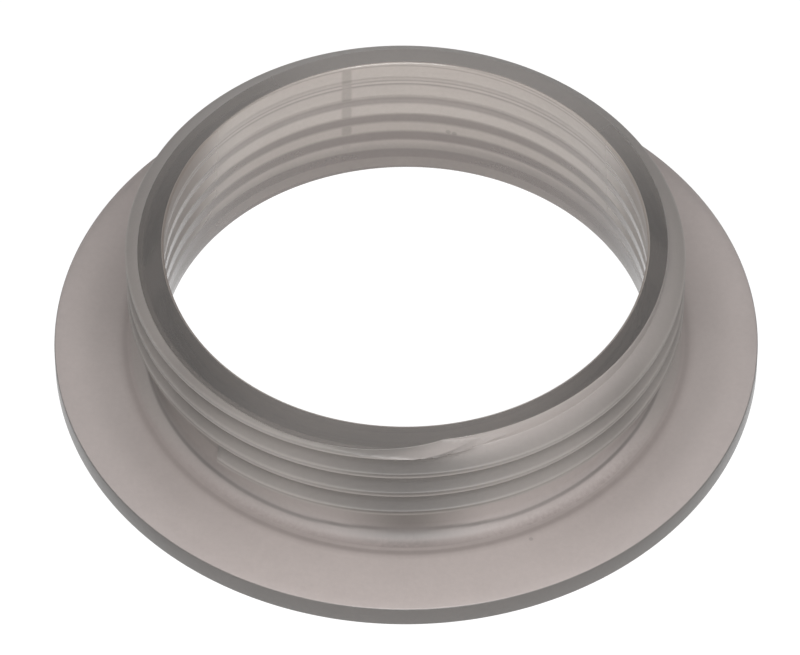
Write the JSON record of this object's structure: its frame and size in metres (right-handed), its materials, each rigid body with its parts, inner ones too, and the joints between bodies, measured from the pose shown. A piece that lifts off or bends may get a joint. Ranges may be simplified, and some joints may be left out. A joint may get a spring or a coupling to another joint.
{
  "type": "threaded hose connector",
  "caption": "Moulded ring with a flat flange, a short collar with an external hose thread and an open through bore.",
  "frame": {"origin": "middle of the flange's flat underside, on the ring's axis", "axes": "+Z along the ring's axis, from the flange to the collar's rim; +X and +Y are free directions across the flange"},
  "size_m": [0.0556, 0.0556, 0.0131],
  "materials": {
    "smoke_plastic": "translucent smoky warm grey plastic, moulded, softly glossy"
  },
  "bodies": {
    "root": {"connector": "smoke_plastic"}
  },
  "joints": []
}
